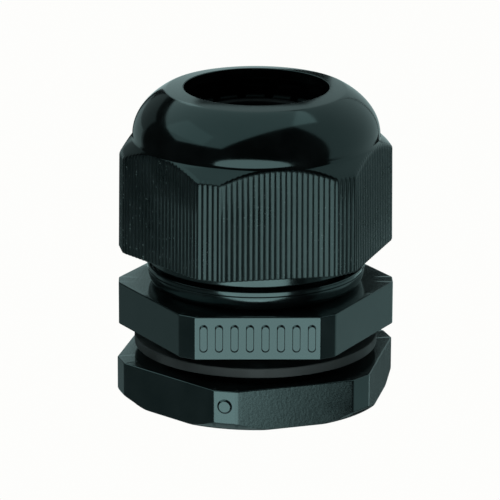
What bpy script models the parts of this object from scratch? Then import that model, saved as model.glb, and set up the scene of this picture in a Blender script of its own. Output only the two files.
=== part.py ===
"""A nylon cable gland, M25 x 1.5: sealing nut, clamping cage, seal, body, flat washer and lock nut.

The axis is Z, the origin is the middle of the flat bottom of the lock nut, and -Y is the front.
Every size below is in millimetres and every angle in degrees.
"""

import math

import bmesh
import bpy

MM = 0.001
GAP = 0.3

# Hexagons: half the spanner size, the distance from the axis to a cut corner, and the way that
# the middle of one flat faces, counted from +X towards +Y.
BODY_FLAT = 16.35
BODY_CORNER = 18.2
BODY_FACING = -90.0
CAP_FLAT_LOW = 16.55
CAP_FLAT_HIGH = 16.4
CAP_CORNER = 18.08
CAP_FACING = -80.6
NUT_FLAT = 16.88
NUT_CORNER = 18.6
NUT_FACING = -73.2
SIDE_STEPS = 6

# Heights, from the bottom of the lock nut up.
NUT_TOP = 5.67
WASHER_LOW = 6.69
WASHER_TOP = 8.02
FLANGE_LOW = 9.36
FLANGE_TOP = 15.08
NECK_TOP = 17.84
COLLAR_LOW = 18.46
GRIP_LOW = 20.07
SEAL_LEDGE = 21.0
BODY_TOP = 28.0
DOME_LOW = 34.8
CREST = 41.49

# Radii of the body, and of the fillet that joins its neck to the flange.
BORE = 9.7
MOUTH = 11.2
NECK = 14.4
NECK_FILLET = 1.0
FILLET_HALFWAY = (1 - math.cos(math.radians(45))) * NECK_FILLET

# The entry thread, M25 x 1.5, and the coarser one under the sealing nut. The outer thread's teeth
# stand from root to crest, and the inner thread's from inner_root in to inner_crest.
ENTRY = {"pitch": 1.5, "root": 11.5, "crest": 12.45, "inner_root": 12.7, "inner_crest": 11.75}
UPPER = {"pitch": 2.0, "root": 12.4, "crest": 13.3, "inner_root": 13.55, "inner_crest": 12.65}
ENTRY_END = 8.9
UPPER_START = 18.15
UPPER_END = 27.3
TOOTH_FOOT = 0.31
TOOTH_TIP = 0.09
THREAD_FADE = 0.6
THREAD_MERGE = 0.05

# The sealing nut's dome, lip and inside.
COLLAR = 14.43
DOME_RADIUS = 16.2
DOME_CREST_RADIUS = 11.57
DOME_SIDE_POWER = 1.69
DOME_RISE_POWER = 0.83
DOME_STEPS = 9
CORNER_SLOPE = 0.98
OPENING = 9.57
LIP_ROUND = 0.7
LIP_CHAMFER = 0.2
THROAT_LOW = 40.2
CAGE_BORE = 13.0
CAGE_BORE_TOP = 32.4
CAP_THREAD_LOW = 19.2
CAP_THREAD_TOP = 27.6
CAP_THREAD_RELIEF = 0.6

# The flat washer and the lock nut's corner chamfer.
WASHER_OUTER = 16.14
WASHER_INNER = 12.8
NUT_BOTTOM_ROUND = 17.33
NUT_CORNER_RISE = 1.2
EDGE = 0.25

# The clamping cage: a ring seated in the body's mouth, and fingers round its top.
FINGERS = 16
CAGE_INNER = 9.75
CAGE_SPIGOT = 10.9
CAGE_FLANGE = 12.3
CAGE_LOW = 25.2
CAGE_TOP = 29.3
HINGE_RADIUS = 11.15
HINGE_HEIGHT = CAGE_TOP + GAP / 2
FINGER_LENGTH = 8.7
FINGER_THICKNESS = 1.1
FINGER_ROOT_WIDTH = 3.7
FINGER_TIP_WIDTH = 3.05
FINGER_LEAN = 11.0
# share of the length, shares of the half thickness on the outer and the inner side, and the width
FINGER_SECTIONS = (
    (0.0, 0.6, 0.6, FINGER_ROOT_WIDTH),
    (0.16, 1.0, 1.0, FINGER_ROOT_WIDTH),
    (0.9, 1.0, 1.0, FINGER_TIP_WIDTH),
    (1.0, 0.3, 0.8, FINGER_TIP_WIDTH),
)
# the sides of a finger follow the radii, so its inner side is narrower by this share
FINGER_INNER_SHARE = 0.93

# The seal: a sleeve with a foot on the body's ledge, narrowing to its top under the fingers.
SEAL_FOOT = 10.7
SEAL_BARREL = 9.4
SEAL_TOP = 37.8
SEAL_PROFILE = (
    (9.2, SEAL_LEDGE + GAP),
    (SEAL_FOOT, SEAL_LEDGE + GAP),
    (SEAL_FOOT, CAGE_LOW - 0.4),
    (SEAL_BARREL, CAGE_LOW - 0.1),
    (SEAL_BARREL, CAGE_TOP),
    (8.55, SEAL_TOP - 0.6),
    (8.3, SEAL_TOP),
    (7.5, SEAL_TOP),
    (7.25, SEAL_TOP - 0.4),
    (8.1, CAGE_TOP - GAP),
)
ROUND_STEPS = 48


def clear_scene():
    """Remove whatever the open file holds."""
    for old in list(bpy.data.objects):
        bpy.data.objects.remove(old, do_unlink=True)


def make_material(name, colour, roughness):
    """A plain Principled material for one piece."""
    material = bpy.data.materials.new(name)
    material.use_nodes = True
    shader = material.node_tree.nodes["Principled BSDF"]
    shader.inputs["Base Color"].default_value = (*colour, 1.0)
    shader.inputs["Roughness"].default_value = roughness
    shader.inputs["Metallic"].default_value = 0.0
    return material


def make_object(name, mesh, material):
    """Put a mesh into the scene as one named piece."""
    piece = bpy.data.objects.new(name, mesh)
    bpy.context.scene.collection.objects.link(piece)
    if not mesh.materials:
        mesh.materials.append(material)
    return piece


def hexagon_radius(direction, facing, flat, corner):
    """How far a hexagon with cut corners reaches from the axis in one direction."""
    from_flat = (direction - facing + 30.0) % 60.0 - 30.0
    from_corner = 30.0 - abs(from_flat)
    flat_reach = flat / math.cos(math.radians(from_flat))
    corner_reach = corner / math.cos(math.radians(from_corner))
    return min(flat_reach, corner_reach)


def hexagon_directions(facing, flat, corner):
    """Directions round the axis with one at each end of every flat, and steps between."""
    half_side = (corner - flat * math.cos(math.radians(30))) / math.sin(math.radians(30))
    reach = math.degrees(math.atan2(half_side, flat))
    return [
        facing + 60.0 * side - reach + 2 * reach * step / SIDE_STEPS
        for side in range(6)
        for step in range(SIDE_STEPS + 1)
    ]


def round_directions():
    """Even directions round the axis."""
    return [360.0 * step / ROUND_STEPS for step in range(ROUND_STEPS)]


class TurnedBody:
    """A closed body round the Z axis, made of rings of points joined by walls."""

    def __init__(self, directions):
        self.mesh = bmesh.new()
        self.directions = directions
        self.rings = []

    def point(self, direction, radius, height):
        angle = math.radians(direction)
        place = (radius * math.cos(angle) * MM, radius * math.sin(angle) * MM, height * MM)
        return self.mesh.verts.new(place)

    def ring(self, radius, height):
        """Add a ring. The radius and the height may each follow the direction."""
        points = []
        for direction in self.directions:
            reach = radius(direction) if callable(radius) else radius
            level = height(reach) if callable(height) else height
            points.append(self.point(direction, reach, level))
        self.rings.append(points)
        return points

    def wall(self, first, second):
        """Join two rings with a band of quads."""
        for here in range(len(first)):
            after = (here + 1) % len(first)
            self.mesh.faces.new((first[here], first[after], second[after], second[here]))

    def thread(self, low, high, foot, tip, pitch, phase):
        """Join a low and a high ring with a helical thread that fades out at both ends."""
        bottom_height = low[0].co.z / MM
        top_height = high[0].co.z / MM
        columns = len(self.directions)
        profile = (
            (0.5 - TOOTH_FOOT, foot),
            (0.5 - TOOTH_TIP, tip),
            (0.5 + TOOTH_TIP, tip),
            (0.5 + TOOTH_FOOT, foot),
        )
        made = {}

        def corner(column, line):
            if column == columns:
                return corner(0, line + len(profile))
            turn, place = divmod(line, len(profile))
            share, radius = profile[place]
            round_share = (self.directions[column] - self.directions[0]) / 360.0
            height = pitch * (round_share + turn + share + phase)
            if height < bottom_height + THREAD_MERGE:
                return low[column]
            if height > top_height - THREAD_MERGE:
                return high[column]
            if (column, line) not in made:
                from_end = min(height - bottom_height, top_height - height)
                fade = min(1.0, from_end / THREAD_FADE)
                reach = foot + (radius - foot) * fade
                made[column, line] = self.point(self.directions[column], reach, height)
            return made[column, line]

        first_line = len(profile) * (math.floor(bottom_height / pitch) - 2)
        last_line = len(profile) * (math.ceil(top_height / pitch) + 2)
        for column in range(columns):
            for line in range(first_line, last_line):
                around = (
                    corner(column, line),
                    corner(column + 1, line),
                    corner(column + 1, line + 1),
                    corner(column, line + 1),
                )
                unlike = list(dict.fromkeys(around))
                if len(unlike) > 2:
                    self.mesh.faces.new(unlike)

    def walls(self, rings):
        """Join each ring to the next."""
        for first, second in zip(rings, rings[1:]):
            self.wall(first, second)

    def finish(self, name, material, sharp_angle=25):
        """Turn every face outwards and make the piece, smooth where it is round."""
        bmesh.ops.recalc_face_normals(self.mesh, faces=self.mesh.faces[:])
        mesh = bpy.data.meshes.new(name)
        self.mesh.to_mesh(mesh)
        self.mesh.free()
        mesh.shade_smooth()
        mesh.set_sharp_from_angle(angle=math.radians(sharp_angle))
        return make_object(name, mesh, material)


def thread_phase(body, facing_shift):
    """The share of a pitch that lines a thread up with direction 0, whatever the first column."""
    return (body.directions[0] + facing_shift) / 360.0


def make_gland_body(nylon):
    """The body: entry thread, flange hexagon, neck, upper thread and a stepped bore."""
    body = TurnedBody(hexagon_directions(BODY_FACING, BODY_FLAT, BODY_CORNER))

    def outline(direction):
        return hexagon_radius(direction, BODY_FACING, BODY_FLAT, BODY_CORNER)

    def low_edge(reach):
        return FLANGE_LOW + (reach - BODY_FLAT) * EDGE

    def high_edge(reach):
        return FLANGE_TOP - (reach - BODY_FLAT) * EDGE

    bore_end = body.ring(BORE, 0.0)
    entry_end = body.ring(ENTRY["root"], 0.0)
    entry_top = body.ring(ENTRY["root"], ENTRY_END)
    flange_root = body.ring(ENTRY["root"], FLANGE_LOW)
    flange_face = body.ring(WASHER_OUTER - EDGE, FLANGE_LOW)
    flange_low = body.ring(outline, low_edge)
    flange_top = body.ring(outline, high_edge)
    flange_land = body.ring(WASHER_OUTER - EDGE, FLANGE_TOP)
    fillet_low = body.ring(NECK + NECK_FILLET, FLANGE_TOP)
    fillet_middle = body.ring(NECK + FILLET_HALFWAY, FLANGE_TOP + FILLET_HALFWAY)
    fillet_top = body.ring(NECK, FLANGE_TOP + NECK_FILLET)
    neck_top = body.ring(NECK, NECK_TOP)
    upper_foot = body.ring(UPPER["root"], NECK_TOP)
    upper_low = body.ring(UPPER["root"], UPPER_START)
    upper_high = body.ring(UPPER["root"], UPPER_END)
    rim_outer = body.ring(UPPER["root"] - EDGE, BODY_TOP)
    rim_inner = body.ring(MOUTH, BODY_TOP)
    ledge_outer = body.ring(MOUTH, SEAL_LEDGE)
    ledge_inner = body.ring(BORE, SEAL_LEDGE)

    body.wall(bore_end, entry_end)
    phase = thread_phase(body, 0.0)
    body.thread(entry_end, entry_top, ENTRY["root"], ENTRY["crest"], ENTRY["pitch"], phase)
    body.walls([entry_top, flange_root, flange_face, flange_low, flange_top, flange_land])
    body.walls([flange_land, fillet_low, fillet_middle, fillet_top, neck_top])
    body.walls([neck_top, upper_foot, upper_low])
    body.thread(upper_low, upper_high, UPPER["root"], UPPER["crest"], UPPER["pitch"], phase)
    body.walls([upper_high, rim_outer, rim_inner, ledge_outer, ledge_inner, bore_end])
    return body.finish("gland_body", nylon)


def dome_point(step):
    """A point of the dome's outline, from its vertical foot to its level crest."""
    turn = math.radians(90.0 * step / DOME_STEPS)
    side = max(math.cos(turn), 0.0) ** DOME_SIDE_POWER
    rise = math.sin(turn) ** DOME_RISE_POWER
    radius = DOME_CREST_RADIUS + (DOME_RADIUS - DOME_CREST_RADIUS) * side
    return radius, DOME_LOW + (CREST - DOME_LOW) * rise


def make_dome_nut(nylon):
    """The sealing nut: collar, hexagon, dome, opening, inner taper and thread."""
    cap = TurnedBody(hexagon_directions(CAP_FACING, CAP_FLAT_HIGH, CAP_CORNER))

    def low_outline(direction):
        return hexagon_radius(direction, CAP_FACING, CAP_FLAT_LOW, CAP_CORNER)

    def high_outline(direction):
        return hexagon_radius(direction, CAP_FACING, CAP_FLAT_HIGH, CAP_CORNER)

    def low_edge(reach):
        return GRIP_LOW + (reach - CAP_FLAT_HIGH) * EDGE

    def corner_slope(reach):
        return DOME_LOW - (reach - DOME_RADIUS) * CORNER_SLOPE

    collar_inner = cap.ring(UPPER["inner_root"], COLLAR_LOW)
    collar_outer = cap.ring(COLLAR, COLLAR_LOW)
    collar_top = cap.ring(COLLAR, GRIP_LOW)
    grip_low = cap.ring(low_outline, low_edge)
    grip_top = cap.ring(high_outline, corner_slope)
    dome = [cap.ring(*dome_point(step)) for step in range(DOME_STEPS + 1)]
    lip_top = cap.ring(OPENING + LIP_ROUND, CREST)
    lip_edge = cap.ring(OPENING + LIP_CHAMFER, CREST - LIP_CHAMFER)
    lip_side = cap.ring(OPENING, CREST - LIP_ROUND)
    throat = cap.ring(OPENING, THROAT_LOW)
    taper_foot = cap.ring(CAGE_BORE, CAGE_BORE_TOP)
    bore_foot = cap.ring(CAGE_BORE, CAP_THREAD_TOP + CAP_THREAD_RELIEF)
    thread_high = cap.ring(UPPER["inner_root"], CAP_THREAD_TOP)
    thread_low = cap.ring(UPPER["inner_root"], CAP_THREAD_LOW)

    cap.walls([collar_inner, collar_outer, collar_top, grip_low, grip_top, *dome])
    cap.walls([dome[-1], lip_top, lip_edge, lip_side, throat, taper_foot, bore_foot, thread_high])
    phase = thread_phase(cap, 180.0)
    inner_root, inner_crest = UPPER["inner_root"], UPPER["inner_crest"]
    cap.thread(thread_low, thread_high, inner_root, inner_crest, UPPER["pitch"], phase)
    cap.wall(thread_low, collar_inner)
    return cap.finish("dome_nut", nylon)


def make_lock_nut(nylon):
    """The lock nut: a hexagon with turned-off corners and the entry thread inside."""
    nut = TurnedBody(hexagon_directions(NUT_FACING, NUT_FLAT, NUT_CORNER))

    def outline(direction):
        return hexagon_radius(direction, NUT_FACING, NUT_FLAT, NUT_CORNER)

    def bottom_outline(direction):
        return min(outline(direction) - EDGE, NUT_BOTTOM_ROUND - EDGE)

    def corner_rise(reach):
        return EDGE + max(0.0, reach - NUT_BOTTOM_ROUND) * NUT_CORNER_RISE

    def corner_drop(reach):
        return NUT_TOP - EDGE - (reach - NUT_FLAT) * EDGE

    def top_outline(direction):
        return outline(direction) - EDGE

    bottom_inner = nut.ring(ENTRY["inner_root"], 0.0)
    bottom_outer = nut.ring(bottom_outline, 0.0)
    side_low = nut.ring(outline, corner_rise)
    side_high = nut.ring(outline, corner_drop)
    top_outer = nut.ring(top_outline, NUT_TOP)
    top_inner = nut.ring(ENTRY["inner_root"], NUT_TOP)
    nut.walls([bottom_inner, bottom_outer, side_low, side_high, top_outer, top_inner])
    phase = thread_phase(nut, 180.0)
    inner_root, inner_crest = ENTRY["inner_root"], ENTRY["inner_crest"]
    nut.thread(bottom_inner, top_inner, inner_root, inner_crest, ENTRY["pitch"], phase)
    return nut.finish("lock_nut", nylon)


def make_plain_ring(name, profile, material):
    """A closed ring turned from a profile of radius and height pairs."""
    turned = TurnedBody(round_directions())
    rings = [turned.ring(radius, height) for radius, height in profile]
    turned.walls([*rings, rings[0]])
    return turned.finish(name, material)


def make_sealing_washer(rubber):
    """The flat washer, with its outer edges broken."""
    profile = (
        (WASHER_INNER, WASHER_LOW),
        (WASHER_OUTER - EDGE, WASHER_LOW),
        (WASHER_OUTER, WASHER_LOW + EDGE),
        (WASHER_OUTER, WASHER_TOP - EDGE),
        (WASHER_OUTER - EDGE, WASHER_TOP),
        (WASHER_INNER, WASHER_TOP),
    )
    return make_plain_ring("sealing_washer", profile, rubber)


def make_claw_ring(nylon):
    """The cage's ring: a spigot in the body's mouth and a flange over the body's rim."""
    profile = (
        (CAGE_INNER, CAGE_LOW),
        (CAGE_SPIGOT, CAGE_LOW),
        (CAGE_SPIGOT, BODY_TOP + GAP),
        (CAGE_FLANGE, BODY_TOP + GAP),
        (CAGE_FLANGE, CAGE_TOP),
        (CAGE_INNER, CAGE_TOP),
    )
    return make_plain_ring("claw_ring", profile, nylon)


def finger_mesh():
    """One finger, leaning in from its hinge line. X points out, Y runs along the hinge."""
    lean = math.radians(FINGER_LEAN)
    half = FINGER_THICKNESS / 2
    finger = bmesh.new()
    loops = []
    for share, outer, inner, width in FINGER_SECTIONS:
        along = GAP / 2 + share * (FINGER_LENGTH - GAP / 2)
        loop = []
        for depth_share, side in ((outer, 1), (outer, -1), (-inner, -1), (-inner, 1)):
            depth = depth_share * half
            narrow = 1.0 if depth > 0 else FINGER_INNER_SHARE
            x = depth * math.cos(lean) - along * math.sin(lean)
            z = depth * math.sin(lean) + along * math.cos(lean)
            loop.append(finger.verts.new((x * MM, side * width / 2 * narrow * MM, z * MM)))
        loops.append(loop)
    for low, high in zip(loops, loops[1:]):
        for here in range(4):
            after = (here + 1) % 4
            finger.faces.new((low[here], low[after], high[after], high[here]))
    finger.faces.new(loops[0])
    finger.faces.new(loops[-1])
    bmesh.ops.recalc_face_normals(finger, faces=finger.faces[:])
    mesh = bpy.data.meshes.new("claw_finger")
    finger.to_mesh(mesh)
    finger.free()
    return mesh


def make_claw_fingers(nylon):
    """The fingers, each with its origin in the middle of its living hinge."""
    mesh = finger_mesh()
    for number in range(FINGERS):
        angle = 2 * math.pi * number / FINGERS
        finger = make_object(f"claw_finger_{number + 1:02d}", mesh, nylon)
        reach = HINGE_RADIUS * MM
        finger.location = (reach * math.cos(angle), reach * math.sin(angle), HINGE_HEIGHT * MM)
        finger.rotation_euler = (0.0, 0.0, angle)


def main():
    clear_scene()
    nylon = make_material("black_nylon", (0.02, 0.026, 0.027), 0.35)
    cap_nylon = make_material("gloss_nylon", (0.018, 0.024, 0.025), 0.2)
    cage_nylon = make_material("cage_nylon", (0.02, 0.022, 0.023), 0.45)
    washer_rubber = make_material("washer_rubber", (0.03, 0.031, 0.031), 0.7)
    seal_rubber = make_material("seal_rubber", (0.015, 0.015, 0.016), 0.6)
    make_gland_body(nylon)
    make_dome_nut(cap_nylon)
    make_lock_nut(nylon)
    make_sealing_washer(washer_rubber)
    make_plain_ring("seal_insert", SEAL_PROFILE, seal_rubber)
    make_claw_ring(cage_nylon)
    make_claw_fingers(cage_nylon)


main()
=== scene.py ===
"""The looks of the cable gland: fine surfaces, materials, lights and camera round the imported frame.

Heights, radii and depths are in millimetres and are turned into metres where points are made.
The axis is Z and -Y is the front.
"""

import math

import bmesh
import bpy
import numpy as np
from mathutils import Matrix, Vector


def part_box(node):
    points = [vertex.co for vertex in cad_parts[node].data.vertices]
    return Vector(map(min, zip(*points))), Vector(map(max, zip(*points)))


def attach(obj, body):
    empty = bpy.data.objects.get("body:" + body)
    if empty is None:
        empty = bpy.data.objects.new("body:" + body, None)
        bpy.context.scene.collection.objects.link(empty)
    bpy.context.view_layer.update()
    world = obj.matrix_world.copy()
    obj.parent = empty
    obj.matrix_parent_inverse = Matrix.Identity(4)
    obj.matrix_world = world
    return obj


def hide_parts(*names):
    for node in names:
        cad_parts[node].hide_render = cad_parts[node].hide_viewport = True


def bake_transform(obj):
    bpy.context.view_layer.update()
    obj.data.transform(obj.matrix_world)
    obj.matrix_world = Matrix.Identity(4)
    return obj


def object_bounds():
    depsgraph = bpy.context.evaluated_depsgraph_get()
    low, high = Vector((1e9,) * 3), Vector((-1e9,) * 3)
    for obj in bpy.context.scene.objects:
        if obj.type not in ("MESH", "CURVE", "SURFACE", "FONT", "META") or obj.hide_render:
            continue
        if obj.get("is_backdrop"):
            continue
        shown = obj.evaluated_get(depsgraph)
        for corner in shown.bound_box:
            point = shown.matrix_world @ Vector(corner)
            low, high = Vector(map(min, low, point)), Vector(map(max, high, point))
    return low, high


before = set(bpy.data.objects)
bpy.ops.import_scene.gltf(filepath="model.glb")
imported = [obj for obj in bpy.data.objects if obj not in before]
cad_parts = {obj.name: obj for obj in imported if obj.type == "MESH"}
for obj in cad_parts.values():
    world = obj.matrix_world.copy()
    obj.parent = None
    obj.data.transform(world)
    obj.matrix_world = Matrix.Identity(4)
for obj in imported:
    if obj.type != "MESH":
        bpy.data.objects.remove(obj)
cad_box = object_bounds()

MM = 0.001


def low_of(node):
    """The height of a CAD node's lowest point, in millimetres."""
    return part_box(node)[0].z / MM


def top_of(node):
    """The height of a CAD node's highest point, in millimetres."""
    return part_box(node)[1].z / MM


def reach_of(node):
    """How far a round CAD node reaches from the axis, in millimetres."""
    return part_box(node)[1].x / MM


# Heights of the pieces come from the frame, and the shape between them from these sizes.
COLLAR_LOW = low_of("dome_nut")
CREST = top_of("dome_nut") + 0.08
GRIP_LOW = COLLAR_LOW + 1.61
DOME_LOW = CREST - 6.77
CAP_THREAD_LOW = COLLAR_LOW + 0.74
CAP_THREAD_TOP = CREST - 13.9
NUT_TOP = top_of("lock_nut")
WASHER_LOW = low_of("sealing_washer")
WASHER_TOP = top_of("sealing_washer")
FLANGE_LOW = WASHER_TOP + 1.27
FLANGE_TOP = WASHER_TOP + 7.06
ENTRY_TOP = FLANGE_LOW - 0.46
NECK_TOP = COLLAR_LOW - 0.62
BODY_TOP = top_of("gland_body")
UPPER_LOW = NECK_TOP + 0.31
UPPER_TOP = BODY_TOP - 0.7
SEAL_LOW = low_of("seal_insert")
SEAL_TOP = top_of("seal_insert")
CAGE_LOW = low_of("claw_ring")
CAGE_TOP = top_of("claw_ring")

# Hexagons: half the spanner size, the distance to a cut corner, and where one flat faces.
BODY_HEX = {"flat": 16.35, "corner": 18.2, "facing": -90.0, "soft": 0.03}
CAP_HEX = {"flat": 16.55, "corner": 18.15, "facing": -80.6, "soft": 0.05}
NUT_HEX = {"flat": 16.98, "corner": 18.72, "facing": -73.2, "soft": 0.03}

# Threads: pitch, and the outer and inner thread's foot and tip radii, as the CAD has them.
ENTRY = {"pitch": 1.5, "root": 11.5, "crest": 12.45, "inner_root": 12.7, "inner_crest": 11.75}
UPPER = {"pitch": 2.0, "root": 12.4, "crest": 13.3, "inner_root": 13.55, "inner_crest": 12.65}

# The ribs of the grip, and how much the grip narrows from its foot to the dome.
RIBS = 156
COLUMNS_PER_RIB = 8
RIB_DEPTH = 0.132
GRIP_DRAFT = 0.15

# The dome's outline: a rounded shoulder from a vertical foot to a rim that slopes a little.
DOME_RADIUS = 16.32
DOME_CREST_RADIUS = 11.85
DOME_SIDE_POWER = 1.65
DOME_RISE_POWER = 0.83
CORNER_SLOPE = 0.98
OPENING = 9.57
RIM_SLOPE = 0.13

FINGERS = 16

# The point that the lights surround.
LIT_MIDDLE = Vector((0.0, 0.0, 0.025))

# How strongly the surface round the gland glows, from one azimuth to another as the gland sees it.
FLOOR_GLOW = (
    (-155, -115, 0.18),
    (-115, -72, 0.08),
    (-72, -33, 0.08),
    (-33, -20, 0.25),
    (9, 27, 0.1),
    (53, 72, 0.1),
    (72, 128, 0.38),
    (128, 148, 0.95),
    (148, 165, 0.08),
    (165, 200, 0.5),
)

# How far in and how far from the end each ring of a moulded hexagon's rounded edge lies.
BROKEN_EDGE = ((0.14, 0.0), (0.07, 0.018), (0.018, 0.07), (0.0, 0.14))

# Base colours, in linear light.
POLISHED_BLACK = (0.001, 0.0013, 0.0014)
SATIN_BLACK = (0.0035, 0.005, 0.0053)
MOULDED_BLACK = (0.003, 0.004, 0.0042)
# The cage's black is darker than the body's nylon: partly its own black, partly painted shade inside
# the opening.
CAGE_BLACK_AND_PAINTED_SHADE = (0.0015, 0.0018, 0.0019)
WASHER_BLACK = (0.021, 0.021, 0.021)
# The seal's black is darker than the washer's rubber: partly its own black, partly painted shade inside
# the opening.
SEAL_BLACK_AND_PAINTED_SHADE = (0.003, 0.0032, 0.0033)
DUST = (0.16, 0.19, 0.19)
COOL_TINT = (0.74, 1.0, 1.0)
PALE = (0.985, 0.985, 0.97, 1.0)


# ---------------------------------------------------------------- mesh helpers


def hexagon_radius(directions, shape, inset=0.0):
    """How far a hexagon with cut and slightly rounded corners reaches, for each direction."""
    least_cosine, too_far = 0.3, 99.0
    reaches = []
    for corner in range(12):
        distance = shape["corner"] if corner % 2 else shape["flat"]
        cosine = np.cos(np.radians(directions - shape["facing"] - 30.0 * corner))
        reach = (distance - inset) / np.maximum(cosine, least_cosine)
        reaches.append(np.where(cosine > least_cosine, reach, too_far))
    reaches = np.array(reaches)
    soft = shape["soft"]
    least = reaches.min(0)
    return least - soft * np.log(np.exp(-(reaches - least) / soft).sum(0))


def evenly_round(shape, count):
    """Directions that step evenly along a hexagon's outline."""
    samples = 14401
    fine = np.linspace(shape["facing"] - 30.0, shape["facing"] + 330.0, samples)
    reach = hexagon_radius(fine, shape)
    x, y = reach * np.cos(np.radians(fine)), reach * np.sin(np.radians(fine))
    along = np.concatenate([[0.0], np.cumsum(np.hypot(np.diff(x), np.diff(y)))])
    stops = along[-1] * np.arange(count) / count
    return np.interp(stops, along, fine)


def hexagon_columns(shape):
    """Directions round a hexagon: close together at its upright edges, and even between them."""
    half_side = (shape["corner"] - shape["flat"] * math.cos(math.radians(30))) * 2
    edge = math.degrees(math.atan2(half_side, shape["flat"]))
    beside = 0.9
    at_edge = np.array([-0.4, 0.0, 0.4])
    on_flat, on_corner = 25, 4
    around = []
    for side in range(6):
        middle = shape["facing"] + 60.0 * side
        around.extend(np.linspace(middle - edge + beside, middle + edge - beside, on_flat))
        around.extend(middle + edge + at_edge)
        around.extend(np.linspace(middle + edge + beside, middle + 60 - edge - beside, on_corner))
        around.extend(middle + 60 - edge + at_edge)
    return np.array(around)


def rounded(points, steps=4):
    """An outline through (radius, height, rounding) corners, with a smooth bend at each rounded one."""
    out = []
    for number, (radius, height, rounding) in enumerate(points):
        here = np.array([radius, height])
        if not rounding or number in (0, len(points) - 1):
            out.append(here)
            continue
        before = np.array(points[number - 1][:2]) - here
        after = np.array(points[number + 1][:2]) - here
        before = before / np.linalg.norm(before) * rounding
        after = after / np.linalg.norm(after) * rounding
        for step in range(steps + 1):
            share = step / steps
            out.append(here + (1 - share) ** 2 * before + share**2 * after)
    return [tuple(point) for point in out]


class Turned:
    """A closed surface round the axis, made of rings joined by walls."""

    def __init__(self, directions):
        self.directions = np.asarray(directions, float)
        self.count = len(self.directions)
        self.points = []
        self.faces = []

    def add_points(self, directions, radii, heights):
        """Points at these directions, as the list of their numbers."""
        angles = np.radians(directions)
        radii = np.broadcast_to(radii, angles.shape)
        heights = np.broadcast_to(heights, angles.shape)
        first = len(self.points)
        places = np.stack([radii * np.cos(angles), radii * np.sin(angles), heights], 1) * MM
        self.points.extend(places.tolist())
        return list(range(first, first + len(angles)))

    def ring(self, radii, heights, every=1):
        """A ring of points on every so many columns. Radii and heights are numbers or arrays."""
        return self.add_points(self.directions[::every], radii, heights)

    def wall(self, low, high):
        """A band between two rings. Where one has more points, its extra ones join the same face."""
        if len(low) == len(high):
            for here in range(len(low)):
                after = (here + 1) % len(low)
                self.faces.append((low[here], low[after], high[after], high[here]))
            return
        many, few = (low, high) if len(low) > len(high) else (high, low)
        share = len(many) // len(few)
        for here in range(len(few)):
            span = [many[(here * share + step) % len(many)] for step in range(share + 1)]
            self.faces.append((*span, few[(here + 1) % len(few)], few[here]))

    def walls(self, rings):
        """A band between each two rings of a list."""
        for low, high in zip(rings, rings[1:]):
            self.wall(low, high)

    def rings(self, outline, every=1):
        """One plain ring for each (radius, height) of an outline."""
        return [self.ring(radius, height, every) for radius, height in outline]

    def thread(self, rings, heights, radii, pitch, start_turn, every=1):
        """Join two rings with a helical thread of rounded teeth that fade out at both ends.

        Rings and heights are low and high, and radii are the teeth's foot and tip.
        """
        (low, high), (low_height, high_height), (foot, tip) = rings, heights, radii
        directions = self.directions[::every]
        columns = len(directions)
        margin, fade_height = 0.04, 0.6
        # how far along the pitch, and how far from the foot to the tip
        profile = (
            (-0.31, 0.0),
            (-0.27, 0.1),
            (-0.13, 0.9),
            (-0.08, 1.0),
            (0.08, 1.0),
            (0.13, 0.9),
            (0.27, 0.1),
            (0.31, 0.0),
        )
        lines = len(profile)
        made = {}

        def corner(column, line):
            if column == columns:
                return corner(0, line + lines)
            turn, place = divmod(line, lines)
            share, rise = profile[place]
            direction = directions[column]
            height = pitch * (direction / 360.0 + turn + share + start_turn)
            if height < low_height + margin:
                return low[column]
            if height > high_height - margin:
                return high[column]
            if (column, line) not in made:
                from_end = min(height - low_height, high_height - height)
                radius = foot + (tip - foot) * rise * min(1.0, from_end / fade_height)
                made[column, line] = self.add_points(np.array([direction]), radius, height)[0]
            return made[column, line]

        first = lines * (math.floor(low_height / pitch) - 3)
        last = lines * (math.ceil(high_height / pitch) + 3)
        for column in range(columns):
            for line in range(first, last):
                around = (
                    corner(column, line),
                    corner(column + 1, line),
                    corner(column + 1, line + 1),
                    corner(column, line + 1),
                )
                unlike = tuple(dict.fromkeys(around))
                if len(unlike) > 2:
                    self.faces.append(unlike)

    def finish(self, name, sharp_angle):
        """The piece, with its edges sharp where they turn by more than this angle."""
        return make_piece(name, self.points, self.faces, sharp_angle)


def make_piece(name, points, faces, sharp_angle):
    """A mesh object with its faces turned outwards, smooth where it is round."""
    mesh = bpy.data.meshes.new(name)
    mesh.from_pydata(points, [], faces)
    shape = bmesh.new()
    shape.from_mesh(mesh)
    bmesh.ops.recalc_face_normals(shape, faces=shape.faces[:])
    shape.to_mesh(mesh)
    shape.free()
    mesh.shade_smooth()
    mesh.set_sharp_from_angle(angle=math.radians(sharp_angle))
    piece = bpy.data.objects.new(name, mesh)
    bpy.context.scene.collection.objects.link(piece)
    even = piece.modifiers.new("even_normals", "WEIGHTED_NORMAL")
    even.keep_sharp = True
    even.weight = 100
    return piece


# ------------------------------------------------------------------ the pieces


def collar_outline():
    """The smooth collar, from the foot of the thread inside it to the grip's underside."""
    radius = 14.43
    return rounded(
        [
            (UPPER["inner_root"], COLLAR_LOW + 0.2, 0),
            (UPPER["inner_root"] + 0.2, COLLAR_LOW, 0),
            (radius, COLLAR_LOW, 0.2),
            (radius, GRIP_LOW, 0.25),
            (14.9, GRIP_LOW, 0),
        ]
    )


def lip_outline():
    """The rim's inner edge, the opening, the taper that bends the fingers, and the room below."""
    shoulder = DOME_CREST_RADIUS - 0.3
    room = 13.0
    return rounded(
        [
            (shoulder, CREST - RIM_SLOPE * (shoulder - OPENING), 0),
            (OPENING, CREST, 0.14),
            (OPENING, CREST - 1.2, 0.3),
            (12.7, CREST - 8.6, 0.6),
            (room, CREST - 9.3, 0.3),
            (room, CREST - 13.3, 0),
            (UPPER["inner_root"], CAP_THREAD_TOP, 0),
        ],
        steps=6,
    )


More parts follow.
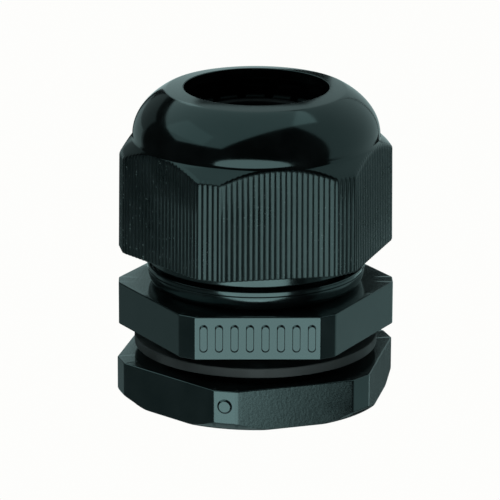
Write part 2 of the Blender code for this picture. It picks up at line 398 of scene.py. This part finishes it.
def chamfer_height(radii):
    """The height of the turned chamfer over the hexagon's corners."""
    return DOME_LOW - (radii - DOME_RADIUS) * CORNER_SLOPE


def grip_rings(cap):
    """The ribbed grip with its rounded ends, and the chamfer where the ribs run out."""
    outline = hexagon_radius(cap.directions, CAP_HEX)
    groove = 1.0 - np.abs(np.cos(np.pi * np.arange(cap.count) / COLUMNS_PER_RIB))

    def ribs(height, depth=1.0, inset=0.0):
        draft = GRIP_DRAFT * (height - GRIP_LOW) / (DOME_LOW - GRIP_LOW)
        return outline - draft - inset - RIB_DEPTH * depth * groove

    rings = []
    # the underside and the rounded foot
    foot_rise = 0.3
    for inset, rise in ((0.45, 0.0), (0.16, 0.03), (0.04, 0.12), (0.0, foot_rise)):
        rings.append(cap.ring(ribs(GRIP_LOW, inset=inset), GRIP_LOW + rise))
    # the upright sides, whose grooves get shallower at the top
    edge = ribs(DOME_LOW - 1.0, depth=0.4)
    edge_height = chamfer_height(edge)
    shallow_band = 1.2
    for share in (0.33, 0.66):
        height = GRIP_LOW + foot_rise + (edge_height - shallow_band - GRIP_LOW) * share
        rings.append(cap.ring(ribs(height), height))
    rings.append(cap.ring(ribs(DOME_LOW - 1.8), edge_height - 0.8))
    # the rounded top edge
    for inset, drop in ((0.0, 0.34), (0.02, 0.16), (0.08, 0.02)):
        rings.append(cap.ring(edge - inset, edge_height - drop))
    # the chamfer, which is smooth further in
    smooth_edge = outline - GRIP_DRAFT - RIB_DEPTH * 0.5
    for share, smooth in ((0.12, 0.12), (0.3, 1.0), (0.65, 1.0)):
        radii = edge * (1 - smooth) + smooth_edge * smooth - 0.2
        radii = radii + (DOME_RADIUS + 0.12 - radii) * share
        rings.append(cap.ring(radii, chamfer_height(radii)))
    return rings


def dome_rings(cap, every):
    """The dome, from the groove round its foot to its crest."""
    rings = [
        cap.ring(DOME_RADIUS + 0.1, DOME_LOW - 0.09, every),
        cap.ring(DOME_RADIUS + 0.02, DOME_LOW + 0.02, every),
    ]
    steps = 40
    full_bulge = CREST - DOME_LOW - RIM_SLOPE * (DOME_RADIUS - OPENING)
    for step in range(1, steps + 1):
        turn = math.radians(90.0 * step / steps)
        side = max(math.cos(turn), 0.0) ** DOME_SIDE_POWER
        radius = DOME_CREST_RADIUS + (DOME_RADIUS - DOME_CREST_RADIUS) * side
        bulge = full_bulge * math.sin(turn) ** DOME_RISE_POWER
        height = DOME_LOW + bulge + RIM_SLOPE * (DOME_RADIUS - radius)
        rings.append(cap.ring(radius, height, every))
    return rings


def make_cap():
    """The sealing nut: smooth collar, ribbed grip with cut corners, polished dome, inner thread."""
    cap = Turned(evenly_round(CAP_HEX, RIBS * COLUMNS_PER_RIB))
    coarse, medium = COLUMNS_PER_RIB, COLUMNS_PER_RIB // 2
    collar = cap.rings(collar_outline(), coarse)
    lip = cap.rings(lip_outline(), medium)
    cap.walls([*collar, *grip_rings(cap), *dome_rings(cap, medium), *lip])
    thread_low = cap.ring(UPPER["inner_root"], CAP_THREAD_LOW, medium)
    heights = (CAP_THREAD_LOW, CAP_THREAD_TOP)
    radii = (UPPER["inner_root"], UPPER["inner_crest"])
    cap.thread((thread_low, lip[-1]), heights, radii, UPPER["pitch"], start_turn=0.5, every=medium)
    cap.wall(thread_low, collar[0])
    piece = cap.finish("sealing_dome_nut", 50)
    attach(piece, "dome_nut")
    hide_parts("dome_nut")
    return piece


def neck_outline(face_radius):
    """The neck, tucked in at its foot and with a fine groove round it, up to the upper thread."""
    radius = 14.42
    tuck = (
        (13.5, 0.0),
        (13.64, 0.12),
        (13.86, 0.35),
        (14.05, 0.6),
        (14.2, 0.9),
        (14.3, 1.25),
        (14.36, 1.6),
    )
    return rounded(
        [
            (face_radius, FLANGE_TOP, 0),
            *[(tucked, FLANGE_TOP + rise, 0) for tucked, rise in tuck],
            (radius - 0.01, FLANGE_TOP + 1.98, 0.04),
            (radius - 0.14, FLANGE_TOP + 2.04, 0.02),
            (radius, FLANGE_TOP + 2.12, 0.04),
            (radius, NECK_TOP, 0.16),
            (UPPER["root"], NECK_TOP, 0.1),
            (UPPER["root"], UPPER_LOW, 0),
        ]
    )


def bore_outline():
    """The body's mouth, the wide bore that holds the sleeve, its ledge and the bore below."""
    wide, narrow = 11.2, 9.7
    ledge = SEAL_LOW - 0.3
    return rounded(
        [
            (UPPER["root"], UPPER_TOP + 0.1, 0),
            (UPPER["root"] - 0.05, BODY_TOP, 0.2),
            (wide, BODY_TOP, 0.2),
            (wide, ledge, 0.2),
            (narrow, ledge, 0.2),
            (narrow, 0.3, 0),
            (narrow + 0.2, 0.0, 0),
        ]
    )


def make_body():
    """The body: entry thread, flange hexagon, tucked-in neck, upper thread and stepped bore."""
    body = Turned(hexagon_columns(BODY_HEX))
    outline = hexagon_radius(body.directions, BODY_HEX)
    face_radius = 15.6

    entry_low = body.ring(ENTRY["root"], 0.0)
    entry_high = body.ring(ENTRY["root"], ENTRY_TOP)
    radii = (ENTRY["root"], ENTRY["crest"])
    body.thread((entry_low, entry_high), (0.0, ENTRY_TOP), radii, ENTRY["pitch"], start_turn=0.0)
    under = body.rings([(ENTRY["root"] + 0.1, FLANGE_LOW), (face_radius, FLANGE_LOW)])
    side = [body.ring(outline - inset, FLANGE_LOW + rise) for inset, rise in BROKEN_EDGE]
    side.extend(body.ring(outline - inset, FLANGE_TOP - rise) for inset, rise in reversed(BROKEN_EDGE))
    neck = body.rings(neck_outline(face_radius))
    body.walls([entry_high, *under, *side, *neck])
    upper_high = body.ring(UPPER["root"], UPPER_TOP)
    radii = (UPPER["root"], UPPER["crest"])
    body.thread((neck[-1], upper_high), (UPPER_LOW, UPPER_TOP), radii, UPPER["pitch"], start_turn=0.0)
    body.walls([upper_high, *body.rings(bore_outline()), entry_low])
    piece = body.finish("hex_body", 35)
    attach(piece, "gland_body")
    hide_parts("gland_body")
    return piece


def raised_mark(name, outlines, place):
    """Low flat-topped bosses. Each outline is its (across, up) points; place turns them to 3D."""
    # how far outside its outline and how far off the face each level of a boss lies
    levels = ((0.14, -0.1), (0.14, 0.0), (-0.04, 0.18), (-0.12, 0.22))
    points, faces = [], []
    for outline in outlines:
        count = len(outline)
        middle = np.mean(outline, 0)
        first = len(points)
        for spread, height in levels:
            for point in outline:
                out = (point - middle) / np.linalg.norm(point - middle)
                points.append(place(point + out * spread, height))
        for level in range(len(levels) - 1):
            for here in range(count):
                after = (here + 1) % count
                low, high = first + level * count, first + (level + 1) * count
                faces.append((low + here, low + after, high + after, high + here))
        faces.append(tuple(range(first, first + count)))
        faces.append(tuple(range(len(points) - count, len(points))))
    return make_piece(name, points, faces, 25)


def make_size_bars():
    """A plain row of bars, where glands carry their moulded size."""
    middle_height = (FLANGE_LOW + FLANGE_TOP) / 2
    bars, pitch, half_width, half_length, corners = 8, 2.0, 0.48, 1.75, 32
    outlines = []
    for number in range(bars):
        across = (number - (bars - 1) / 2) * pitch
        outline = []
        for step in range(corners):
            turn = 2 * math.pi * (step + 0.5) / corners
            up = half_width * math.sin(turn)
            up = up + math.copysign(half_length - half_width, up)
            outline.append((across + half_width * math.cos(turn), middle_height + up))
        outlines.append(np.array(outline))

    def place(point, height):
        return (point[0] * MM, -(BODY_HEX["flat"] + height) * MM, point[1] * MM)

    piece = raised_mark("body_mark_bars", outlines, place)
    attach(piece, "gland_body")
    return piece


def make_nut_mark():
    """A small round mould mark on one of the nut's cut corners."""
    radius, corners = 0.85, 32
    turns = 2 * np.pi * np.arange(corners) / corners
    outline = np.stack([radius * np.cos(turns), NUT_TOP * 0.63 + radius * np.sin(turns)], 1)
    direction = math.radians(NUT_HEX["facing"] - 30.0)
    out = Vector((math.cos(direction), math.sin(direction), 0.0))
    across = Vector((-out.y, out.x, 0.0))

    def place(point, height):
        spot = out * (NUT_HEX["corner"] + height) + across * point[0]
        return tuple((spot + Vector((0, 0, point[1]))) * MM)

    piece = raised_mark("lock_nut_mould_mark", [outline], place)
    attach(piece, "lock_nut")
    return piece


def make_lock_nut():
    """The lock nut: flat hexagon with turned corners at the bottom and a thread inside."""
    nut = Turned(hexagon_columns(NUT_HEX))
    outline = hexagon_radius(nut.directions, NUT_HEX)
    turned_radius, thread_gap, lead_in = 17.45, 0.15, 0.15
    turned = np.minimum(outline, turned_radius)
    past = outline - turned

    bottom = nut.rings([(ENTRY["inner_root"] + lead_in, 0.0), (15.8, 0.0)])
    side = [nut.ring(turned - inset, rise) for inset, rise in BROKEN_EDGE]
    side.append(nut.ring(outline - past * 0.08, 0.14 + past * 0.72))
    side.append(nut.ring(outline, 0.2 + past * 0.88))
    side.extend(nut.ring(outline - inset, NUT_TOP - rise) for inset, rise in reversed(BROKEN_EDGE))
    top = nut.rings([(15.9, NUT_TOP), (ENTRY["inner_root"] + lead_in, NUT_TOP)])
    heights = (thread_gap, NUT_TOP - thread_gap)
    low, high = nut.rings([(ENTRY["inner_root"], height) for height in heights])
    nut.walls([low, *bottom, *side, *top, high])
    radii = (ENTRY["inner_root"], ENTRY["inner_crest"])
    nut.thread((low, high), heights, radii, ENTRY["pitch"], start_turn=0.5)
    piece = nut.finish("hex_lock_nut", 35)
    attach(piece, "lock_nut")
    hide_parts("lock_nut")
    return piece


def closed_ring(name, outline):
    """A plain round piece, turned from a closed outline."""
    columns = 192
    turned = Turned(360.0 * np.arange(columns) / columns)
    rings = turned.rings(outline)
    turned.walls([*rings, rings[0]])
    return turned.finish(name, 35)


def make_washer():
    """The flat rubber washer, cut from sheet, with softened edges."""
    outer, inner = reach_of("sealing_washer"), 12.8
    middle = (WASHER_LOW + WASHER_TOP) / 2
    outline = rounded(
        [
            (inner, middle, 0),
            (inner, WASHER_LOW, 0.12),
            (outer, WASHER_LOW, 0.18),
            (outer, WASHER_TOP, 0.18),
            (inner, WASHER_TOP, 0.12),
            (inner, middle + 0.2, 0),
        ]
    )
    piece = closed_ring("flat_rubber_washer", outline)
    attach(piece, "sealing_washer")
    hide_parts("sealing_washer")
    return piece


def make_seal():
    """The seal: a rubber sleeve on the body's ledge, narrowing under the fingers."""
    outline = rounded(
        [
            (8.9, SEAL_LOW + 1.2, 0),
            (9.2, SEAL_LOW, 0.3),
            (10.7, SEAL_LOW, 0.3),
            (10.7, SEAL_LOW + 3.5, 0.3),
            (9.4, SEAL_LOW + 3.8, 0.3),
            (9.4, SEAL_LOW + 8.0, 0.8),
            (8.5, SEAL_TOP, 0.45),
            (7.25, SEAL_TOP, 0.45),
            (8.1, SEAL_LOW + 7.7, 0.8),
            (8.85, SEAL_LOW + 1.5, 0),
        ]
    )
    piece = closed_ring("rubber_seal_sleeve", outline)
    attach(piece, "seal_insert")
    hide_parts("seal_insert")
    return piece


def make_claw_ring():
    """The ring of the clamping cage, seated in the body's mouth."""
    inner, outer, rim = 9.75, 10.9, 12.3
    rim_low = BODY_TOP + 0.3
    middle = (CAGE_LOW + CAGE_TOP) / 2
    outline = rounded(
        [
            (inner, middle, 0),
            (inner, CAGE_LOW, 0.2),
            (outer, CAGE_LOW, 0.2),
            (outer, rim_low, 0.1),
            (rim, rim_low, 0.15),
            (rim, CAGE_TOP, 0.2),
            (inner, CAGE_TOP, 0.2),
            (inner, middle + 0.3, 0),
        ]
    )
    piece = closed_ring("clamping_cage_ring", outline)
    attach(piece, "gland_body")
    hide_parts("claw_ring")
    return piece


def finger_points(number):
    """The points and faces of one finger, from its root in the cage ring to its nose."""
    lean = math.radians(11.0)
    hinge_radius, hinge_height = 11.15, CAGE_TOP + 0.15
    squareness, narrowing = 0.3, 0.35
    angle = 2 * math.pi * number / FINGERS
    # height over the hinge, half thickness outwards and inwards, half width
    stations = (
        (-0.55, 0.3, 0.3, 1.75),
        (-0.15, 0.26, 0.3, 1.75),
        (0.0, 0.22, 0.28, 1.75),
        (0.15, 0.22, 0.28, 1.76),
        (0.45, 0.3, 0.3, 1.8),
        (1.0, 0.5, 0.5, 1.82),
        (1.5, 0.55, 0.55, 1.8),
        (3.5, 0.55, 0.55, 1.7),
        (5.5, 0.55, 0.55, 1.6),
        (7.2, 0.55, 0.55, 1.52),
        (8.1, 0.5, 0.55, 1.48),
        (8.5, 0.34, 0.46, 1.42),
        (8.7, 0.1, 0.22, 1.3),
    )
    points = []
    around = 20
    for along, outer, inner, half_width in stations:
        for step in range(around):
            turn = 2 * math.pi * step / around
            across = math.copysign(abs(math.sin(turn)) ** squareness, math.sin(turn)) * half_width
            depth = math.copysign(abs(math.cos(turn)) ** squareness, math.cos(turn))
            depth = depth * (outer if depth > 0 else inner)
            bend = lean if along > 0 else 0.0
            out = hinge_radius + depth * math.cos(bend) - max(along, 0.0) * math.sin(lean)
            up = hinge_height + depth * math.sin(bend) + along * math.cos(bend)
            across = across * (out / (hinge_radius + 0.3)) ** narrowing
            radius = math.sqrt(max(out * out - across * across, 0.0))
            x = radius * math.cos(angle) - across * math.sin(angle)
            y = radius * math.sin(angle) + across * math.cos(angle)
            points.append((x * MM, y * MM, up * MM))
    faces = []
    for level in range(len(stations) - 1):
        for step in range(around):
            after = (step + 1) % around
            low, high = level * around, (level + 1) * around
            faces.append((low + step, low + after, high + after, high + step))
    faces.append(tuple(range(around)))
    faces.append(tuple(range(len(points) - around, len(points))))
    return points, faces


def make_finger(number):
    """A finger, leaning inwards from its living hinge."""
    points, faces = finger_points(number)
    name = f"{number + 1:02d}"
    piece = make_piece(f"cage_finger_{name}", points, faces, 50)
    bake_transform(piece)
    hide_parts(f"claw_finger_{name}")
    return piece


# ------------------------------------------------------------------- materials


def new_material(name):
    """A material, its node tree and its surface shader."""
    material = bpy.data.materials.new(name)
    material.use_nodes = True
    tree = material.node_tree
    return material, tree, tree.nodes["Principled BSDF"]


def node(tree, kind, **inputs):
    """A shader node with its sockets set by name."""
    made = tree.nodes.new(kind)
    for key, value in inputs.items():
        made.inputs[key.replace("_", " ")].default_value = value
    return made


def ramp(tree, source, low, high, low_value, high_value):
    """Map a source value from low..high to low_value..high_value."""
    limits = {"From_Min": low, "From_Max": high, "To_Min": low_value, "To_Max": high_value}
    spread = node(tree, "ShaderNodeMapRange", **limits)
    tree.links.new(source, spread.inputs["Value"])
    return spread.outputs["Result"]


def product(tree, first, second):
    """Two values multiplied."""
    times = tree.nodes.new("ShaderNodeMath")
    times.operation = "MULTIPLY"
    tree.links.new(first, times.inputs[0])
    tree.links.new(second, times.inputs[1])
    return times.outputs[0]


def mixed(tree, factor, first, second):
    """A colour between two. Each is a plain colour, or a socket that gives one."""
    mix = tree.nodes.new("ShaderNodeMix")
    mix.data_type = "RGBA"
    tree.links.new(factor, mix.inputs["Factor"])
    for key, colour in (("A", first), ("B", second)):
        if isinstance(colour, bpy.types.NodeSocket):
            tree.links.new(colour, mix.inputs[key])
        else:
            mix.inputs[key].default_value = (*colour, 1.0)
    return mix.outputs["Result"]


def noise(tree, place, scale, detail):
    """A cloudy value that is fixed to the piece."""
    cloud = node(tree, "ShaderNodeTexNoise", Scale=scale, Detail=detail)
    tree.links.new(place, cloud.inputs["Vector"])
    return cloud.outputs["Fac"]


def add_grain(tree, shader, place, scale, strength, depth):
    """Fine mould grain, as a bump."""
    bump = node(tree, "ShaderNodeBump", Strength=strength, Distance=depth)
    tree.links.new(noise(tree, place, scale, 2.0), bump.inputs["Height"])
    tree.links.new(bump.outputs["Normal"], shader.inputs["Normal"])


def dust_specks(tree, place, most):
    """Where pale specks lie: dots in some cells of a fine pattern, thicker in some patches."""
    cells = node(tree, "ShaderNodeTexVoronoi", Scale=2300.0)
    tree.links.new(place, cells.inputs["Vector"])
    dots = ramp(tree, cells.outputs["Distance"], 0.12, 0.28, 1.0, 0.0)
    parts = tree.nodes.new("ShaderNodeSeparateColor")
    tree.links.new(cells.outputs["Color"], parts.inputs["Color"])
    chosen = ramp(tree, parts.outputs["Red"], 0.55, 0.8, 0.0, most)
    patches = ramp(tree, noise(tree, place, 110.0, 2.0), 0.42, 0.6, 0.1, 1.0)
    return product(tree, dots, product(tree, chosen, patches))


def nylon(name, colour, roughness, gloss, grain=0.12, specks=0.0):
    """Black moulded nylon: a faint cloudy gloss, fine mould grain and perhaps pale dust specks.

    Roughness is its least and its most.
    """
    material, tree, shader = new_material(name)
    shader.inputs["Specular Tint"].default_value = (*COOL_TINT, 1.0)
    shader.inputs["Specular IOR Level"].default_value = gloss
    place = tree.nodes.new("ShaderNodeTexCoord").outputs["Object"]
    cloud = noise(tree, place, 260.0, 3.0)
    tree.links.new(ramp(tree, cloud, 0.3, 0.7, *roughness), shader.inputs["Roughness"])
    add_grain(tree, shader, place, 2600.0, grain, 0.00004)
    faded = [part * 1.5 + 0.004 for part in colour]
    shown = mixed(tree, ramp(tree, cloud, 0.35, 0.75, 0.0, 1.0), colour, faded)
    if specks:
        shown = mixed(tree, dust_specks(tree, place, specks), shown, DUST)
    tree.links.new(shown, shader.inputs["Base Color"])
    return material


def rubber(name, colour, gloss):
    """Matte black rubber with a fine even grain."""
    material, tree, shader = new_material(name)
    shader.inputs["Specular IOR Level"].default_value = gloss
    place = tree.nodes.new("ShaderNodeTexCoord").outputs["Object"]
    cloud = noise(tree, place, 420.0, 4.0)
    tree.links.new(ramp(tree, cloud, 0.3, 0.7, 0.5, 0.72), shader.inputs["Roughness"])
    add_grain(tree, shader, place, 3200.0, 0.3, 0.00005)
    faded = [part * 1.7 for part in colour]
    shown = mixed(tree, ramp(tree, cloud, 0.35, 0.7, 0.0, 1.0), colour, faded)
    tree.links.new(shown, shader.inputs["Base Color"])
    return material


def dress(pieces, material):
    """Give pieces one material."""
    for piece in pieces:
        piece.data.materials.clear()
        piece.data.materials.append(material)


def paint_cap(cap):
    """The dome is polished, the ribbed grip is satin and the collar semi-gloss."""
    polished = nylon("polished_dome_nylon", POLISHED_BLACK, (0.09, 0.13), gloss=0.62, grain=0.03)
    satin = nylon("ribbed_grip_nylon", SATIN_BLACK, (0.26, 0.36), gloss=0.62, grain=0.25, specks=0.8)
    smooth = nylon("collar_nylon", MOULDED_BLACK, (0.13, 0.18), gloss=1.0)
    dress([cap], polished)
    cap.data.materials.append(satin)
    cap.data.materials.append(smooth)
    inside, margin = 14.0, 0.05
    for face in cap.data.polygons:
        radius = math.hypot(face.center.x, face.center.y) / MM
        height = face.center.z / MM
        on_chamfer = height > chamfer_height(radius) - 0.06
        if height < DOME_LOW - margin and not on_chamfer and radius >= inside:
            face.material_index = 1 if height > GRIP_LOW - margin else 2


# ------------------------------------------------------------ stage and lights


def add_camera():
    """A long lens, which looks down at the gland a little from the front."""
    distance, elevation, azimuth, roll = 0.5234, 16.88, 1.0, 0.24
    target = Vector((0.0, 0.0, 0.0215))
    tilt, turn = math.radians(elevation), math.radians(azimuth)
    forward = Vector(
        (
            math.sin(turn) * math.cos(tilt),
            math.cos(turn) * math.cos(tilt),
            -math.sin(tilt),
        )
    )
    data = bpy.data.cameras.new("camera")
    data.lens = 284.6
    data.sensor_width = 36.0
    data.shift_x = -0.0119
    data.shift_y = -0.034
    data.dof.use_dof = False
    camera = bpy.data.objects.new("camera", data)
    look = forward.to_track_quat("-Z", "Y").to_matrix().to_4x4()
    rolled = Matrix.Rotation(math.radians(roll), 4, "Z")
    camera.matrix_world = Matrix.Translation(target - forward * distance) @ look @ rolled
    bpy.context.scene.collection.objects.link(camera)
    bpy.context.scene.camera = camera


def panel(name, middle, across, up, width, height, glow, shape="RECTANGLE"):
    """An evenly glowing softbox, seen by surfaces but not by the camera. Its glow is its colour."""
    back = across.cross(up)
    data = bpy.data.lights.new(name, "AREA")
    data.shape = shape
    data.size, data.size_y = width, height
    filled = math.pi / 4 if shape == "ELLIPSE" else 1.0
    data.energy = math.pi * width * height * filled
    data.color = glow
    light = bpy.data.objects.new(name, data)
    turned = Matrix((across, up, back)).transposed().to_4x4()
    light.matrix_world = Matrix.Translation(middle) @ turned
    light.visible_camera = False
    bpy.context.scene.collection.objects.link(light)


def wall(name, facing, distance, azimuths, elevations, glow, tilt=0.0, shape="RECTANGLE"):
    """An upright softbox, which spans these azimuths and elevations as the gland sees it.

    Azimuth 0 is the front, and 90 is the right.
    """
    turn = math.radians(facing)
    out = Vector((math.sin(turn), -math.cos(turn), 0.0))
    across = Vector((math.cos(turn), math.sin(turn), 0.0))
    left, right = (distance * math.tan(math.radians(azimuth - facing)) for azimuth in azimuths)
    low, high = (distance * math.tan(math.radians(elevation)) for elevation in elevations)
    up = Vector((0.0, 0.0, 1.0))
    middle = LIT_MIDDLE + out * distance + across * (left + right) / 2 + up * (low + high) / 2
    roll = Matrix.Rotation(math.radians(tilt), 3, out)
    panel(name, middle, roll @ across, roll @ up, right - left, high - low, glow, shape)


def add_stage():
    """A plain pale floor, below the lock nut's lowest travel, which throws no light on the gland."""
    half, height = 3.0, -0.0056
    corners = [(-half, -half, 0), (half, -half, 0), (half, half, 0), (-half, half, 0)]
    mesh = bpy.data.meshes.new("floor")
    mesh.from_pydata(corners, [], [(0, 1, 2, 3)])
    floor = bpy.data.objects.new("floor", mesh)
    floor.location = (0, 0, height)
    bpy.context.scene.collection.objects.link(floor)
    material, _, shader = new_material("pale_floor")
    shader.inputs["Base Color"].default_value = (0.0, 0.0, 0.0, 1.0)
    shader.inputs["Specular IOR Level"].default_value = 0.0
    shader.inputs["Roughness"].default_value = 1.0
    shader.inputs["Emission Color"].default_value = PALE
    shader.inputs["Emission Strength"].default_value = 1.0
    floor.data.materials.append(material)
    floor.visible_diffuse = False
    floor.visible_glossy = False
    floor.visible_shadow = False
    floor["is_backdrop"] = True


def add_world():
    """A pale world for the camera and a nearly dark one for the surfaces."""
    world = bpy.data.worlds.new("studio")
    bpy.context.scene.world = world
    world.use_nodes = True
    tree = world.node_tree
    tree.nodes.clear()
    seen = node(tree, "ShaderNodeBackground", Color=PALE, Strength=1.0)
    dim = node(tree, "ShaderNodeBackground", Color=(0.75, 1.0, 1.0, 1.0), Strength=0.012)
    path = tree.nodes.new("ShaderNodeLightPath")
    mix = tree.nodes.new("ShaderNodeMixShader")
    out = tree.nodes.new("ShaderNodeOutputWorld")
    tree.links.new(path.outputs["Is Camera Ray"], mix.inputs["Fac"])
    tree.links.new(dim.outputs["Background"], mix.inputs[1])
    tree.links.new(seen.outputs["Background"], mix.inputs[2])
    tree.links.new(mix.outputs["Shader"], out.inputs["Surface"])


def cool(strength, red=0.72):
    """The studio's slightly cool light."""
    return (red * strength, strength, strength)


def add_canopy():
    """A large softbox over the back left, and a soft patch of glow at the left."""
    along = Vector((0.72, 0.69, 0.0)).normalized()
    across = Vector((0.69, -0.72, 0.0)).normalized()
    height = 0.6
    middle = LIT_MIDDLE + Vector((0, 0, height)) + (along * -0.62 - across * 0.58) * height
    panel("canopy", middle, across, along, 1.85 * height, 2.45 * height, cool(0.73))
    facing, level = -84, 43
    for share in (1.0, 0.75, 0.5, 0.25):
        azimuths = (facing - 29 * share, facing + 29 * share)
        elevations = (level - 11 * share, level + 11 * share)
        wall("canopy_glow", facing, 0.8, azimuths, elevations, cool(0.2))


def add_walls():
    """Walls at the right and behind, dimmer at the left, and two low boxes in front."""
    wall("right_wall", 100, 0.7, (73, 156), (-14, 69), cool(0.45), tilt=-4.6)
    wall("back_right", 164, 0.95, (156, 175), (-14, 50), cool(0.45))
    wall("back_high", 178, 0.95, (175, 190), (26, 50), cool(0.45))
    wall("back_left", 194, 0.95, (183, 197), (-14, 46), cool(0.6), tilt=-17.0)
    wall("left_dim", 214, 0.95, (198, 232), (-14, 24), cool(0.13))
    wall("left_low", 211, 0.95, (194, 228), (-14, 4), cool(0.2))
    wall("front_box", -2, 0.45, (-40, 34), (-38, 6), cool(2.0, 0.8), tilt=-5.0, shape="ELLIPSE")
    wall("front_low", -2, 0.45, (-38, 34), (-60, -33), cool(1.2, 0.8), shape="ELLIPSE")


def add_floor_glow():
    """What the surface round and under the gland throws back."""
    for left, right, strength in FLOOR_GLOW:
        wall("floor_glow", (left + right) / 2, 0.5, (left, right), (-28, -15.5), cool(strength, 0.68))
    below = LIT_MIDDLE - Vector((0, 0, 0.5))
    panel("under", below, Vector((1, 0, 0)), Vector((0, -1, 0)), 1.0, 1.0, cool(0.3))


# ------------------------------------------------------------------- the scene

bpy.context.scene.view_settings.view_transform = "Standard"
bpy.context.scene.view_settings.look = "None"
add_camera()
cap_piece = make_cap()
body_piece = make_body()
nut_piece = make_lock_nut()
bars_piece = make_size_bars()
nut_mark_piece = make_nut_mark()
washer_piece = make_washer()
seal_piece = make_seal()
cage_piece = make_claw_ring()
finger_pieces = [make_finger(number) for number in range(FINGERS)]

paint_cap(cap_piece)
dress([body_piece, bars_piece], nylon("body_nylon", MOULDED_BLACK, (0.14, 0.17), gloss=1.0))
dress([nut_piece, nut_mark_piece], nylon("lock_nut_nylon", MOULDED_BLACK, (0.15, 0.18), gloss=1.0))
# The cage's darker, duller nylon is partly painted shade inside the opening.
dress([cage_piece, *finger_pieces], nylon("cage_nylon", CAGE_BLACK_AND_PAINTED_SHADE, (0.4, 0.5), gloss=0.08))
dress([washer_piece], rubber("washer_rubber", WASHER_BLACK, gloss=0.5))
# The seal's darker, duller rubber is partly painted shade inside the opening.
dress([seal_piece], rubber("seal_rubber", SEAL_BLACK_AND_PAINTED_SHADE, gloss=0.15))

add_stage()
add_world()
add_canopy()
add_walls()
add_floor_glow()

box_lists = [[list(map(float, corner)) for corner in box] for box in (cad_box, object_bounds())]
